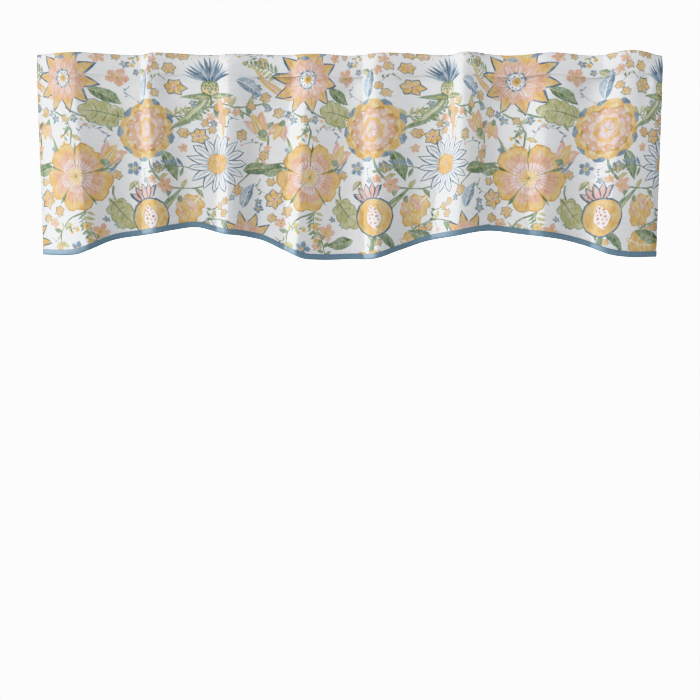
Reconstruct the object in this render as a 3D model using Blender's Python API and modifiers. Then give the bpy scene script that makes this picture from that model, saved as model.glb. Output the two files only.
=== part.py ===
"""A window valance of printed cotton, as it hangs: a panel in soft upright folds, a rod pocket along
its top, and a half-inch binding round its scalloped hem.

Metres, +Z up. The room side faces -Y. The origin is the middle of the top edge, over the rod's axis.
"""

import math
from collections import namedtuple

import bmesh
import bpy
import numpy as np

# Driving dimensions
TOP_WIDTH = 1.387  # the hung width at the top edge
HEM_WIDTH = 1.361  # the hung width at the hem, where the folds are deepest
POCKET_DEPTH = 0.053  # from the top edge to the pocket's seam
ROD_ROOM = 0.011  # the pocket's half width where the rod lies
CLOTH = 0.0012
SIDE_HEM = 0.015  # the turned-in strip down each side, twice as thick as the cloth
BINDING_CLOTH = 0.0010
BINDING_WIDTH = 0.013
BINDING_FOLD = 0.003  # from the binding's lower edge up to the raw edge that it holds
GAP = 0.0003  # between pieces that touch

# How the cloth falls from the pocket to the hem
SEAM_STAND = 0.009  # the seam's distance in front of the rod's axis, in a trough
POCKET_SHARE = 0.45  # the folds' depth at the pocket, as a share of that at the hem
COLUMN = 0.017  # the widest step between two columns of faces
PANEL_ROWS = 5
LOOP_STEPS = 14

# One row for each fold, left to right, with its places along the hem measured from the left edge.
# The cloth lies back at the crease, comes forward to the crest, falls back to the floor and runs
# level from there to the next crease. A lean is how much further right that line lies at the top.
# sharp tells how abruptly the cloth turns at the crest: 0 is round, and 1 or more is a pressed edge.
Fold = namedtuple(
    "Fold",
    "crease crest floor crease_depth crest_depth sharp crease_lean crest_lean crest_rise",
)
FOLDS = [
    Fold(0.000, 0.107, 0.205, 0.002, 0.051, 1.1, 0.000, -0.022, 0.005),
    Fold(0.2235, 0.2545, 0.335, 0.027, 0.0425, 0.4, 0.0045, -0.011, 0.003),
    Fold(0.387, 0.4125, 0.488, 0.023, 0.038, 0.3, 0.0085, 0.007, 0.001),
    Fold(0.536, 0.564, 0.690, 0.018, 0.040, 1.0, 0.0195, 0.024, 0.001),
    Fold(0.712, 0.741, 0.830, 0.020, 0.040, 0.4, -0.003, -0.003, 0.003),
    Fold(0.859, 0.922, 1.036, 0.016, 0.040, 0.2, 0.040, 0.007, 0.006),
    Fold(1.077, 1.107, 1.200, 0.019, 0.029, 0.6, -0.017, -0.002, 0.004),
    Fold(1.213, 1.248, 1.361, 0.011, 0.0255, 0.3, 0.018, 0.028, 0.008),
]
RIGHT_EDGE_DEPTH = 0.004
CREASE_RISE = -0.001
RIGHT_EDGE_RISE = -0.003
FLANK_START = 1.2  # a flank's slope at its crease, as a multiple of its mean slope
RIGHT_EDGE_FALL = 1.6  # the last fall's slope at the right edge, likewise

# The scalloped lower edge: how far it hangs below the top edge.
Hem = namedtuple("Hem", "across drop")
HEM = [
    Hem(0.000, 0.446), Hem(0.060, 0.449), Hem(0.084, 0.447), Hem(0.105, 0.440),
    Hem(0.160, 0.416), Hem(0.222, 0.405), Hem(0.256, 0.401), Hem(0.290, 0.394),
    Hem(0.345, 0.387), Hem(0.385, 0.397), Hem(0.402, 0.402), Hem(0.440, 0.406),
    Hem(0.490, 0.416), Hem(0.530, 0.435), Hem(0.579, 0.457), Hem(0.610, 0.459),
    Hem(0.690, 0.457), Hem(0.735, 0.457), Hem(0.790, 0.438), Hem(0.850, 0.417),
    Hem(0.912, 0.407), Hem(0.985, 0.395), Hem(1.060, 0.402), Hem(1.106, 0.408),
    Hem(1.150, 0.414), Hem(1.208, 0.429), Hem(1.250, 0.446), Hem(1.290, 0.452),
    Hem(HEM_WIDTH, 0.451),
]

# The rod pocket's section, once round from its seam: up the back, over the rod and down the front.
# forward and height are those of a flat stretch, and carried is how much of a fold's depth it takes.
Turn = namedtuple("Turn", "forward carried height")
SEAM_LEAVES = 2 * CLOTH + 0.0010  # the pocket's two walls where they are sewn together
POCKET = [
    Turn(SEAM_STAND - SEAM_LEAVES, 1.00, -POCKET_DEPTH),
    Turn(-0.85 * ROD_ROOM, 0.15, -0.0360),
    Turn(-ROD_ROOM, 0.00, -0.0140),
    Turn(-0.70 * ROD_ROOM, 0.00, -0.0035),
    Turn(0, 0.10, 0),
    Turn(0.70 * ROD_ROOM, 0.40, -0.0035),
    Turn(ROD_ROOM, 0.80, -0.0140),
    Turn(1.10 * ROD_ROOM, 0.95, -0.0320),
    Turn(SEAM_STAND, 1.00, -POCKET_DEPTH),
]


def hermite(x, x0, x1, y0, y1, slope0, slope1):
    """The cubic from (x0, y0) to (x1, y1) that has the given slopes at its ends."""
    t = np.clip((x - x0) / (x1 - x0), 0, 1)
    bend = (x1 - x0) * t * (1 - t) * (slope0 * (1 - t) - slope1 * t)
    return y0 * (1 + 2 * t) * (1 - t) ** 2 + y1 * t * t * (3 - 2 * t) + bend


def smooth_through(x, places, values):
    """A smooth curve through the given values, with its slope at each set by the neighbours."""
    places, values = np.array(places), np.array(values)
    slopes = np.gradient(values, places)
    i = np.clip(np.searchsorted(places, x) - 1, 0, len(places) - 2)
    ends = places[i], places[i + 1], values[i], values[i + 1], slopes[i], slopes[i + 1]
    return hermite(x, *ends)


def fold_depth(across):
    """How far toward the room the cloth stands at the hem, at this distance from the left edge."""
    depth = np.zeros_like(across)
    ends = [(fold.crease_depth, 0) for fold in FOLDS[1:]] + [(RIGHT_EDGE_DEPTH, RIGHT_EDGE_FALL)]
    for fold, (end_depth, end_share) in zip(FOLDS, ends):
        rise = (fold.crest_depth - fold.crease_depth) / (fold.crest - fold.crease)
        drop = (end_depth - fold.crest_depth) / (fold.floor - fold.crest)
        flank = hermite(
            across, fold.crease, fold.crest, fold.crease_depth, fold.crest_depth,
            FLANK_START * rise, 0.3 * fold.sharp * rise,
        )
        fall = hermite(
            across, fold.crest, fold.floor, fold.crest_depth, end_depth,
            fold.sharp * drop, end_share * drop,
        )
        depth = np.where(across >= fold.crease, flank, depth)
        depth = np.where(across >= fold.crest, fall, depth)
    return depth


def along_folds(across, at_crease, at_crest, at_right_edge):
    """A value that runs smoothly through the one given at each crease and crest."""
    places, values = [], []
    for fold in FOLDS:
        places += [fold.crease, fold.crest]
        values += [at_crease(fold), at_crest(fold)]
    return smooth_through(across, places + [HEM_WIDTH], values + [at_right_edge])


def top_rise(across):
    """How far the top edge stands above its mean height, or sags below it."""
    return along_folds(
        across, lambda fold: CREASE_RISE, lambda fold: fold.crest_rise, RIGHT_EDGE_RISE
    )


def lean(across):
    return along_folds(across, lambda fold: fold.crease_lean, lambda fold: fold.crest_lean, 0.0)


def hem_drop(across):
    return smooth_through(across, [row.across for row in HEM], [row.drop for row in HEM])


def hung(across, down):
    """The room side of the cloth below the pocket's seam, where down is below the top edge."""
    drop = hem_drop(across)
    fallen = np.clip((down - POCKET_DEPTH) / (drop - POCKET_DEPTH), 0, 1)
    width = TOP_WIDTH + (HEM_WIDTH - TOP_WIDTH) * fallen
    share = POCKET_SHARE + (1 - POCKET_SHARE) * fallen * (2 - fallen)
    x = (across / HEM_WIDTH - 0.5) * width + lean(across) * (1 - fallen)
    y = -SEAM_STAND * (1 - fallen) - share * fold_depth(across)
    z = top_rise(across) * (1 - fallen) - down
    return np.stack([x, y, z], axis=-1)


def ahead_of(points, distance):
    """One row of the cloth moved toward the room, so that each facet stays parallel to the row's."""
    step = np.diff(points[:, :2], axis=0)
    step /= np.linalg.norm(step, axis=1, keepdims=True)
    facing = np.stack([step[:, 1], -step[:, 0]], axis=1)
    left = np.vstack([facing[:1], facing])
    right = np.vstack([facing, facing[-1:]])
    mitre = (left + right) / (1 + (left * right).sum(axis=1, keepdims=True))
    moved = points.copy()
    moved[:, :2] += distance * mitre
    return moved


def columns():
    """Distances from the left edge: every crease, crest and hem fold, and steps between them."""
    stops = [SIDE_HEM, SIDE_HEM + CLOTH, HEM_WIDTH - SIDE_HEM - CLOTH, HEM_WIDTH - SIDE_HEM]
    for fold in FOLDS:
        stops += [fold.crease, fold.crest]
    stops = sorted(stops + [HEM_WIDTH])
    found = []
    for start, end in zip(stops, stops[1:]):
        steps = math.ceil((end - start) / COLUMN)
        found += list(np.linspace(start, end, steps, endpoint=False))
    return np.array(found + [HEM_WIDTH])


def sheet(name, points, thickness, material, doubled=None):
    """A closed sheet that lies behind a grid of points, which is indexed by column and row.

    Where doubled is given, the sheet has its whole thickness there and half of it elsewhere.
    """
    last_column, last_row = points.shape[0] - 1, points.shape[1] - 1
    mesh = bpy.data.meshes.new(name)
    mesh.materials.append(material)
    obj = bpy.data.objects.new(name, mesh)
    valance.objects.link(obj)
    solidify = obj.modifiers.new("cloth thickness", "SOLIDIFY")
    solidify.thickness = thickness
    solidify.offset = -1
    solidify.use_even_offset = True
    if doubled is not None:
        solidify.vertex_group = obj.vertex_groups.new(name="doubled").name
        solidify.thickness_vertex_group = 0.5

    bm = bmesh.new()
    weights = bm.verts.layers.deform.new()
    bmesh.ops.create_grid(bm, x_segments=last_column, y_segments=last_row, size=1)
    for vert in bm.verts:
        column = round((vert.co.x + 1) / 2 * last_column)
        row = round((1 - vert.co.y) / 2 * last_row)
        if doubled is not None and doubled[column, row]:
            vert[weights][0] = 1.0
        vert.co = points[column, row]
    bmesh.ops.remove_doubles(bm, verts=bm.verts, dist=1e-6)
    bm.to_mesh(mesh)
    bm.free()
    mesh.shade_smooth()
    return obj


def finish(name, colour, roughness):
    material = bpy.data.materials.new(name)
    material.use_nodes = True
    shader = material.node_tree.nodes["Principled BSDF"]
    shader.inputs["Base Color"].default_value = (*colour, 1)
    shader.inputs["Roughness"].default_value = roughness
    shader.inputs["Metallic"].default_value = 0
    return material


def make_panel(across, material):
    """The printed cloth below the pocket. Its side hems are double, and end above the binding."""
    bottom = hem_drop(across) - BINDING_FOLD
    single_from = hem_drop(across) - BINDING_WIDTH - GAP
    doubled_to = single_from - CLOTH
    top = POCKET_DEPTH + GAP
    rows = [top + (doubled_to - top) * i / PANEL_ROWS for i in range(PANEL_ROWS + 1)]
    rows += [single_from, bottom]
    points = np.stack([hung(across, down) for down in rows], axis=1)
    to_side = np.minimum(across, HEM_WIDTH - across)
    in_side_hem = to_side < SIDE_HEM + CLOTH / 2
    doubled = np.outer(in_side_hem, np.arange(len(rows)) <= PANEL_ROWS)
    sheet("panel", points, 2 * CLOTH, material, doubled)


def make_heading(across, material):
    """The cloth's top, turned over to the back and sewn down: a pocket open at both ends."""
    depth = POCKET_SHARE * fold_depth(across)
    rise = top_rise(across)
    x = (across / HEM_WIDTH - 0.5) * TOP_WIDTH + lean(across)
    forward, carried, height = np.array(POCKET).T
    chords = np.hypot(np.diff(forward), np.diff(height))
    places = np.concatenate([[0], np.cumsum(chords)])
    rows = []
    for step in np.linspace(0, places[-1], LOOP_STEPS + 1):
        ahead = smooth_through(step, places, forward) + smooth_through(step, places, carried) * depth
        up = smooth_through(step, places, height)
        rows.append(np.stack([x, -ahead, rise + up], axis=-1))
    # The first row comes again at the end, which closes the pocket at its seam.
    sheet("heading", np.stack([*rows, rows[0]], axis=1), CLOTH, material)


def make_binding(across, material):
    """The folded strip that holds the hem's raw edge between its two leaves."""
    drop = hem_drop(across)
    front = GAP + BINDING_CLOTH
    back = -CLOTH - GAP - BINDING_CLOTH
    middle = (front + back) / 2
    half_fold = 0.8 * BINDING_CLOTH
    # Once round the fold: the distance ahead of the cloth's room side, and above the lower edge.
    section = [
        (front, BINDING_WIDTH),
        (front, BINDING_FOLD / 2),
        (middle + half_fold, 0),
        (middle - half_fold, 0),
        (back, BINDING_FOLD / 2),
        (back, BINDING_WIDTH),
    ]
    rows = [ahead_of(hung(across, drop - above), ahead) for ahead, above in section]
    sheet("binding", np.stack(rows, axis=1), BINDING_CLOTH, material)


for old in list(bpy.data.objects):
    bpy.data.objects.remove(old)
valance = bpy.data.collections.new("window_valance")
bpy.context.scene.collection.children.link(valance)

PRINTED_COTTON = finish("printed_cotton", (0.80, 0.76, 0.68), 0.8)
POCKET_COTTON = finish("pocket_cotton", (0.82, 0.79, 0.73), 0.8)
BLUE_COTTON = finish("blue_cotton", (0.13, 0.23, 0.33), 0.75)

ACROSS = columns()
make_panel(ACROSS, PRINTED_COTTON)
make_heading(ACROSS, POCKET_COTTON)
make_binding(ACROSS, BLUE_COTTON)
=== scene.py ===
"""The looks of a printed cotton window valance: its cloth in soft upright folds, the print on it,
the blue binding round its scalloped hem, the sewing, and a plain pale studio.

Metres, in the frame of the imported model: +X to the right, -Y toward the room, +Z up.
"""

import math
import random
from collections import namedtuple

import bmesh
import bpy
import numpy as np
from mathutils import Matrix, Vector
from mathutils.geometry import delaunay_2d_cdt


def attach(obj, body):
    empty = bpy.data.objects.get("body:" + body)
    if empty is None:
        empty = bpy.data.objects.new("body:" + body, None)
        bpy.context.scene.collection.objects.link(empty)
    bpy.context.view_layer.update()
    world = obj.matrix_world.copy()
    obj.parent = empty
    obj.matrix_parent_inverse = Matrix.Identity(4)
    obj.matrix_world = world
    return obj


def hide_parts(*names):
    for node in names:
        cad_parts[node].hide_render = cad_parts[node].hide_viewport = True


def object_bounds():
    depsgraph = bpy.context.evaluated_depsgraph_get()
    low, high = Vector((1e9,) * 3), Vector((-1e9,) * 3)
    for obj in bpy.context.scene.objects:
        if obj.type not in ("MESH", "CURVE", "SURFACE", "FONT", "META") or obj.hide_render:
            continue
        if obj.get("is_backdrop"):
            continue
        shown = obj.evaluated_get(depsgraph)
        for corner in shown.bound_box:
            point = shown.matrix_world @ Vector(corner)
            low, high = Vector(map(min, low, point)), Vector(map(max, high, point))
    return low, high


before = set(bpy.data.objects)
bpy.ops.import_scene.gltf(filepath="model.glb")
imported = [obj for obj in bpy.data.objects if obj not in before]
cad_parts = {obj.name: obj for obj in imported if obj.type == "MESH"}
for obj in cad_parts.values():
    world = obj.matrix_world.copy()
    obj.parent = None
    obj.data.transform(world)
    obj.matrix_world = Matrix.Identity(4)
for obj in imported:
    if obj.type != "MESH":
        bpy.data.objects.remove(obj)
cad_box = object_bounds()


# ---- The panel ----
# One width of medium-weight cotton, turned in at both sides, which hangs in eight uneven folds.
# Each has a sharp crease on its left, comes forward to a crest and falls back slowly, and it is
# deepest at the hem.

TOP_WIDTH = 1.387
HEM_WIDTH = 1.361
POCKET_DEPTH = 0.053
SEAM_STAND = 0.009  # the seam's distance in front of the rod's axis, in a trough
POCKET_SHARE = 0.45  # how deep the folds are at the pocket, as a share of their depth at the hem
EDGE_ABOVE_FOLD = 0.003  # the raw edge stops this far above the fold of the binding

# Each fold's floor is where its fall ends, and sharp tells how abruptly the cloth turns at the
# crest.
Fold = namedtuple(
    "Fold",
    "crease crest floor crease_depth crest_depth sharp crease_lean crest_lean crest_rise",
)
FOLDS = [
    Fold(0.000, 0.107, 0.205, 0.002, 0.051, 1.1, 0.000, -0.022, 0.005),
    Fold(0.2235, 0.2545, 0.335, 0.027, 0.0425, 0.4, 0.0045, -0.011, 0.003),
    Fold(0.387, 0.4125, 0.488, 0.023, 0.038, 0.3, 0.0085, 0.007, 0.001),
    Fold(0.536, 0.564, 0.690, 0.018, 0.040, 1.0, 0.0195, 0.024, 0.001),
    Fold(0.712, 0.741, 0.830, 0.020, 0.040, 0.4, -0.003, -0.003, 0.003),
    Fold(0.859, 0.922, 1.036, 0.016, 0.040, 0.2, 0.040, 0.007, 0.006),
    Fold(1.077, 1.107, 1.200, 0.019, 0.029, 0.6, -0.017, -0.002, 0.004),
    Fold(1.213, 1.248, 1.361, 0.011, 0.0255, 0.3, 0.018, 0.028, 0.008),
]
RIGHT_EDGE_DEPTH = 0.004
CREASE_RISE = -0.001
RIGHT_EDGE_RISE = -0.003
FLANK_START = 1.2  # a flank's slope at its crease, as a multiple of its mean slope
FLANK_END = 0.3  # its slope at a crest with a sharpness of 1, likewise
RIGHT_EDGE_FALL = 1.6  # the last fall's slope at the right edge, likewise

Hem = namedtuple("Hem", "across drop")
HEM = [Hem(*row) for row in (
    (0.000, 0.446), (0.060, 0.449), (0.084, 0.447), (0.105, 0.440),
    (0.160, 0.416), (0.222, 0.405), (0.256, 0.401), (0.290, 0.394),
    (0.345, 0.387), (0.385, 0.397), (0.402, 0.402), (0.440, 0.406),
    (0.490, 0.416), (0.530, 0.435), (0.579, 0.457), (0.610, 0.459),
    (0.690, 0.457), (0.735, 0.457), (0.790, 0.438), (0.850, 0.417),
    (0.912, 0.407), (0.985, 0.395), (1.060, 0.402), (1.106, 0.408),
    (1.150, 0.414), (1.208, 0.429), (1.250, 0.446), (1.290, 0.452),
    (HEM_WIDTH, 0.451),
)]


def hermite(x, x0, x1, y0, y1, slope0, slope1):
    """The cubic from (x0, y0) to (x1, y1) that has the given slopes at its ends."""
    t = np.clip((x - x0) / (x1 - x0), 0, 1)
    bend = (x1 - x0) * t * (1 - t) * (slope0 * (1 - t) - slope1 * t)
    return y0 * (1 + 2 * t) * (1 - t) ** 2 + y1 * t * t * (3 - 2 * t) + bend


def smooth_through(x, places, values):
    """A smooth curve through the given values, with its slope at each set by the neighbours."""
    places, values = np.array(places), np.array(values)
    slopes = np.gradient(values, places)
    i = np.clip(np.searchsorted(places, x) - 1, 0, len(places) - 2)
    ends = places[i], places[i + 1], values[i], values[i + 1], slopes[i], slopes[i + 1]
    return hermite(x, *ends)


def fold_depth(across):
    """How far toward the room the cloth stands at the hem, at this distance from the left edge."""
    depth = np.zeros_like(across)
    ends = [(fold.crease_depth, 0) for fold in FOLDS[1:]] + [(RIGHT_EDGE_DEPTH, RIGHT_EDGE_FALL)]
    for fold, (end_depth, end_share) in zip(FOLDS, ends):
        rise = (fold.crest_depth - fold.crease_depth) / (fold.crest - fold.crease)
        drop = (end_depth - fold.crest_depth) / (fold.floor - fold.crest)
        flank = hermite(
            across, fold.crease, fold.crest, fold.crease_depth, fold.crest_depth,
            FLANK_START * rise, FLANK_END * fold.sharp * rise,
        )
        fall = hermite(
            across, fold.crest, fold.floor, fold.crest_depth, end_depth,
            fold.sharp * drop, end_share * drop,
        )
        depth = np.where(across >= fold.crease, flank, depth)
        depth = np.where(across >= fold.crest, fall, depth)
    return depth


def along_folds(across, at_crease, at_crest, at_right_edge):
    """A value that runs smoothly through the one given at each crease and crest."""
    places, values = [], []
    for fold in FOLDS:
        places += [fold.crease, fold.crest]
        values += [at_crease(fold), at_crest(fold)]
    return smooth_through(across, places + [HEM_WIDTH], values + [at_right_edge])


def top_rise(across):
    return along_folds(
        across, lambda fold: CREASE_RISE, lambda fold: fold.crest_rise, RIGHT_EDGE_RISE
    )


def lean(across):
    return along_folds(across, lambda fold: fold.crease_lean, lambda fold: fold.crest_lean, 0.0)


def hem_drop(across):
    return smooth_through(across, [row.across for row in HEM], [row.drop for row in HEM])


# Where the gathered top pulls in below the pocket's seam, the cloth dips in short soft troughs.
Dent = namedtuple("Dent", "across down width length depth")
DENTS = [Dent(*row) for row in (
    (0.145, 0.048, 0.020, 0.070, 0.0016), (0.302, 0.048, 0.019, 0.080, 0.0034),
    (0.525, 0.048, 0.046, 0.100, 0.0100), (0.690, 0.048, 0.030, 0.080, 0.0050),
    (0.800, 0.048, 0.020, 0.075, 0.0030), (1.062, 0.048, 0.048, 0.100, 0.0100),
    (1.200, 0.048, 0.036, 0.100, 0.0090), (1.306, 0.046, 0.020, 0.090, 0.0036),
    (0.030, 0.056, 0.010, 0.060, 0.0012), (1.348, 0.052, 0.012, 0.060, 0.0016),
)]


def dents(across, down):
    """How far the cloth stands back from its folds."""
    depth = np.zeros_like(across)
    for dent in DENTS:
        u = (across - dent.across) / dent.width
        v = np.clip((down - dent.down) / dent.length, 0, 1)
        depth = depth + dent.depth * np.exp(-u * u) * np.sin(math.pi * v**0.55) ** 2
    return depth


def hung(across, down):
    """The room side of the cloth below the pocket's seam, where down is below the top edge."""
    drop = hem_drop(across)
    fallen = np.clip((down - POCKET_DEPTH) / (drop - POCKET_DEPTH), 0, 1)
    width = TOP_WIDTH + (HEM_WIDTH - TOP_WIDTH) * fallen
    share = POCKET_SHARE + (1 - POCKET_SHARE) * fallen * (2 - fallen)
    x = (across / HEM_WIDTH - 0.5) * width + lean(across) * (1 - fallen)
    y = dents(across, down) - SEAM_STAND * (1 - fallen) - share * fold_depth(across)
    z = top_rise(across) * (1 - fallen) - down
    return np.stack([x, y, z], axis=-1)


# Flat cloth is measured along the hem's folds, so that the print keeps its width as it hangs: s
# from its left edge, and t down from the pocket's seam.
fine_across = np.linspace(0, HEM_WIDTH, 2001)
hem_line = hung(fine_across, hem_drop(fine_across))
fine_along = np.concatenate(
    [[0], np.cumsum(np.hypot(np.diff(hem_line[:, 0]), np.diff(hem_line[:, 1])))]
)
FLAT_WIDTH = float(fine_along[-1])


def across_at(s):
    return np.interp(s, fine_along, fine_across)


def hung_cloth(s, t):
    """Where a point of the flat cloth hangs below the seam."""
    return hung(across_at(s), POCKET_DEPTH + t)


def facing(place, s, t):
    """The way that the cloth's printed side faces, averaged over a few threads."""
    step = 0.0010
    along = place(np.minimum(s + step, FLAT_WIDTH), t) - place(np.maximum(s - step, 0), t)
    below = place(s, t + step) - place(s, t - step)
    normal = np.cross(below, along)
    return normal / np.linalg.norm(normal, axis=-1, keepdims=True)


def raw_edge(s):
    """The flat cloth's scalloped lower edge, which lies just inside the fold of the binding."""
    return hem_drop(across_at(s)) - POCKET_DEPTH - EDGE_ABOVE_FOLD


# ---- The print on the cloth ----
# Flowers, leaves and vines screen-printed in flat colours on white cotton. Each motif is a stack
# of outlines, one unit across, painted one over the other. The layout is in millimetres of flat
# cloth, and it repeats sideways.

REPEAT_ACROSS = 515
REPEAT_DOWN = 600


def turned(degrees):
    return complex(math.cos(math.radians(degrees)), math.sin(math.radians(degrees)))


def blade(length, width, widest=0.5, point=1.0, bend=0.0, steps=7):
    """A petal or a leaf from the origin to its tip on +x. A high point is a slender tip."""
    u = np.linspace(0, 1, steps)
    half = width / 2 * np.sin(math.pi * u ** (math.log(0.5) / math.log(widest))) ** point
    middle = length * (u + 1j * bend * u * u)
    side = 1j * (1 + 2j * bend * u)
    side /= np.abs(side)
    return np.concatenate([middle + side * half, (middle - side * half)[-2:0:-1]])


def stroke(points, start_width, end_width):
    """A line with a width, which tapers evenly from its start to its end."""
    points = np.asarray(points)
    side = 1j * np.gradient(points)
    side /= np.abs(side)
    half = np.linspace(start_width, end_width, len(points)) / 2
    return np.concatenate([points + side * half, (points - side * half)[::-1]])


def arc(start, end, bulge, steps=5):
    """Points on a curve from start to end, which bulges to one side by a share of its length."""
    u = np.linspace(0, 1, steps)
    return start + (end - start) * (u + 1j * bulge * 4 * u * (1 - u))


def disc(centre, radius, sides=7):
    return centre + radius * np.exp(2j * math.pi * np.arange(sides) / sides)


def heart_petal(length, width):
    """A broad petal with a notch in its end."""
    side = [0, 0.22 + 0.16j, 0.48 + 0.36j, 0.72 + 0.49j, 0.9 + 0.45j, 1 + 0.27j, 0.99 + 0.1j, 0.93]
    side = np.array(side)
    side = side.real * length + 1j * side.imag * width
    return np.concatenate([side, side[-2:0:-1].conj()])


def scalloped(radius, lobes, depth, steps=3):
    """A round outline of full lobes."""
    turn = np.arange(lobes * steps) / (lobes * steps)
    swell = 1 - depth + depth * np.abs(np.sin(math.pi * lobes * turn)) ** 0.7
    return radius * swell * np.exp(2j * math.pi * turn)


def around(count, shapes, offset=0.0):
    """The shapes turned round a centre, each turn painted after the last."""
    return [
        (colour, outline * turned(360 * (k + offset) / count))
        for k in range(count)
        for colour, outline in shapes
    ]


def dots_round(colour, count, radius, size, sides=5):
    return [(colour, disc(radius * turned(360 * k / count), size, sides)) for k in range(count)]


def star_bloom():
    """Pointed petals in two rings round a dotted eye."""
    long_petal = [
        ("navy", blade(0.50, 0.185)),
        ("gold", blade(0.468, 0.148)),
        ("peach", stroke(arc(0.10, 0.38, 0.02), 0.060, 0.012)),
        ("ochre", stroke(arc(0.14, 0.43, -0.03), 0.010, 0.004)),
    ]
    short_petal = [
        ("salmon", blade(0.34, 0.15, 0.55, 0.9)),
        ("peach", blade(0.31, 0.115, 0.55, 0.9)),
        ("blush", blade(0.26, 0.06, 0.55, 0.9)),
        ("rose", stroke(arc(0.12, 0.27, 0.0, 3), 0.010, 0.004)),
    ]
    return (
        around(10, long_petal)
        + around(10, short_petal, 0.5)
        + [("slate", scalloped(0.135, 9, 0.2)), ("white", disc(0, 0.105, 12))]
        + dots_round("navy", 9, 0.078, 0.012)
        + [("gold", disc(0, 0.050, 10)), ("ochre", disc(0, 0.022, 6))]
    )


def round_bloom():
    """A full rose of ruffled rings."""
    rings = [
        ("slate", 0.50, 9, 0.14), ("gold", 0.478, 9, 0.15), ("straw", 0.398, 11, 0.12),
        ("ochre", 0.382, 11, 0.12), ("peach", 0.364, 10, 0.14), ("blush", 0.262, 8, 0.16),
        ("gold", 0.205, 8, 0.16), ("salmon", 0.150, 7, 0.18), ("blush", 0.112, 7, 0.18),
    ]
    shapes = [
        (colour, scalloped(radius, lobes, depth) * turned(17 * i))
        for i, (colour, radius, lobes, depth) in enumerate(rings)
    ]
    shapes += around(27, [("ochre", stroke(arc(0.405, 0.455, 0.0, 2), 0.009, 0.004))])
    shapes += dots_round("white", 15, 0.310, 0.019)
    shapes += dots_round("slate", 15, 0.310, 0.008, 4)
    shapes += around(5, [("slate", stroke(arc(0.02, 0.10, 0.25, 4), 0.012, 0.006))])
    return shapes + [("gold", disc(0, 0.03, 8))]


def wild_rose():
    """Five notched petals with fine veins, round a dotted eye."""
    petal = [
        ("ochre", heart_petal(0.50, 0.47)),
        ("gold", heart_petal(0.480, 0.43)),
        ("peach", heart_petal(0.375, 0.34)),
        ("blush", heart_petal(0.245, 0.22)),
    ]
    for k in (-1.7, -0.9, 0, 0.9, 1.7):
        vein = arc(0.12 * turned(8 * k), (0.43 - 0.02 * abs(k)) * turned(12 * k), 0.03 * k, 4)
        petal.append(("rose", stroke(vein, 0.009, 0.004)))
    thread = [("ochre", stroke(arc(0.05, 0.145, 0.05, 3), 0.008, 0.006))]
    return (
        around(5, [("leaf_dark", blade(0.50, 0.10, 0.5, 1.3))], 0.5)
        + around(5, petal)
        + [("straw", scalloped(0.12, 10, 0.25))]
        + around(15, thread)
        + dots_round("slate", 15, 0.155, 0.011)
        + [("gold", disc(0, 0.055, 9)), ("leaf", disc(0, 0.026, 6))]
    )


def daisy():
    """Many narrow pale petals, edged with blue, round a seeded eye."""
    petal = [
        ("navy", blade(0.50, 0.135, 0.64, 0.7)),
        ("white", blade(0.48, 0.103, 0.64, 0.7)),
        ("sky", stroke(arc(0.17, 0.42, 0.02, 3), 0.038, 0.012)),
    ]
    return (
        around(15, petal)
        + [("ochre", scalloped(0.185, 15, 0.12)), ("gold", disc(0, 0.155, 14))]
        + dots_round("rose", 12, 0.125, 0.012)
        + dots_round("ochre", 9, 0.082, 0.012)
        + [("peach", disc(0, 0.048))]
    )


def pomegranate():
    """A ripe fruit cut open, with its crown on +x and two leaves at its stalk."""
    shapes = []
    for side in (-1, 1):
        for colour, length, width, root in (
            ("leaf", 0.46, 0.13, -0.36), ("leaf_dark", 0.36, 0.06, -0.37)
        ):
            leaf = blade(length, width, 0.4, 1.0, 0.5 * side)
            shapes.append((colour, leaf * turned(128 * side) + root))
    for k in (-2, 2, -1, 1, 0):
        shapes.append(("navy", blade(0.34, 0.13) * turned(25 * k) + 0.13))
        shapes.append(("salmon", blade(0.30, 0.085) * turned(25 * k) + 0.14))
    shapes += [("navy", disc(-0.11, 0.325, 18)), ("gold", disc(-0.11, 0.300, 18))]
    for side in (-1, 1):
        for k in (1, 2):
            seam = arc(-0.39 + 0.03 * k, 0.17 - 0.03 * k, 0.20 * side * (3 - k) + 0.09 * side, 7)
            shapes.append(("ochre", stroke(seam, 0.010, 0.007)))
    shapes.append(("ochre", blade(0.44, 0.27, 0.5, 0.8) - 0.33))
    shapes.append(("white", blade(0.41, 0.235, 0.5, 0.8) - 0.315))
    for i in range(6):
        for j in (-1, 0, 1):
            seed = -0.275 + 0.062 * i + 0.058j * j + (0.031 if j else 0)
            if not (j and i in (0, 5)) and abs(j) * abs(i - 2.2) < 2.1:
                shapes.append(("rose" if (i + j) % 2 else "salmon", disc(seed, 0.024, 6)))
                shapes.append(("navy", disc(seed, 0.007, 4)))
    return shapes


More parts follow.
